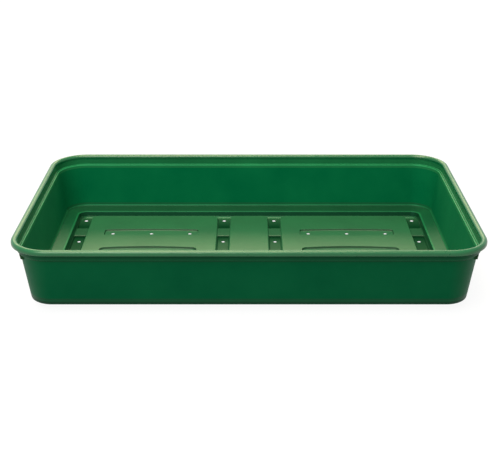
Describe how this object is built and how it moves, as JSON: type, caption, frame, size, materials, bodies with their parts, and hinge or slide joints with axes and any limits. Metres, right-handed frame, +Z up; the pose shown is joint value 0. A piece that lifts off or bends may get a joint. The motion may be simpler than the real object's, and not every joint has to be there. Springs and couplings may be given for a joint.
{
  "type": "seed tray",
  "caption": "Shallow rectangular plastic seed tray with a rolled rim, a ledge for a lid, tapered walls, stacking lugs and a drained floor of raised panels and channels",
  "frame": {"origin": "centre of the footprint, on the surface that the tray stands on", "axes": "X along the long side, Y from the front to the back, Z up"},
  "size_m": [0.38, 0.24, 0.06],
  "materials": {
    "green_plastic": "satin moulded polypropylene, dark green"
  },
  "bodies": {
    "root": {"rim": "green_plastic", "lid_seat": "green_plastic", "front_wall": "green_plastic", "back_wall": "green_plastic", "left_wall": "green_plastic", "right_wall": "green_plastic", "base_step": "green_plastic", "left_floor_panel": "green_plastic", "centre_floor_panel": "green_plastic", "right_floor_panel": "green_plastic", "left_end_channel": "green_plastic", "left_middle_channel": "green_plastic", "right_middle_channel": "green_plastic", "right_end_channel": "green_plastic", "front_left_stacking_lug": "green_plastic", "front_right_stacking_lug": "green_plastic", "back_left_stacking_lug": "green_plastic", "back_right_stacking_lug": "green_plastic"}
  },
  "joints": []
}
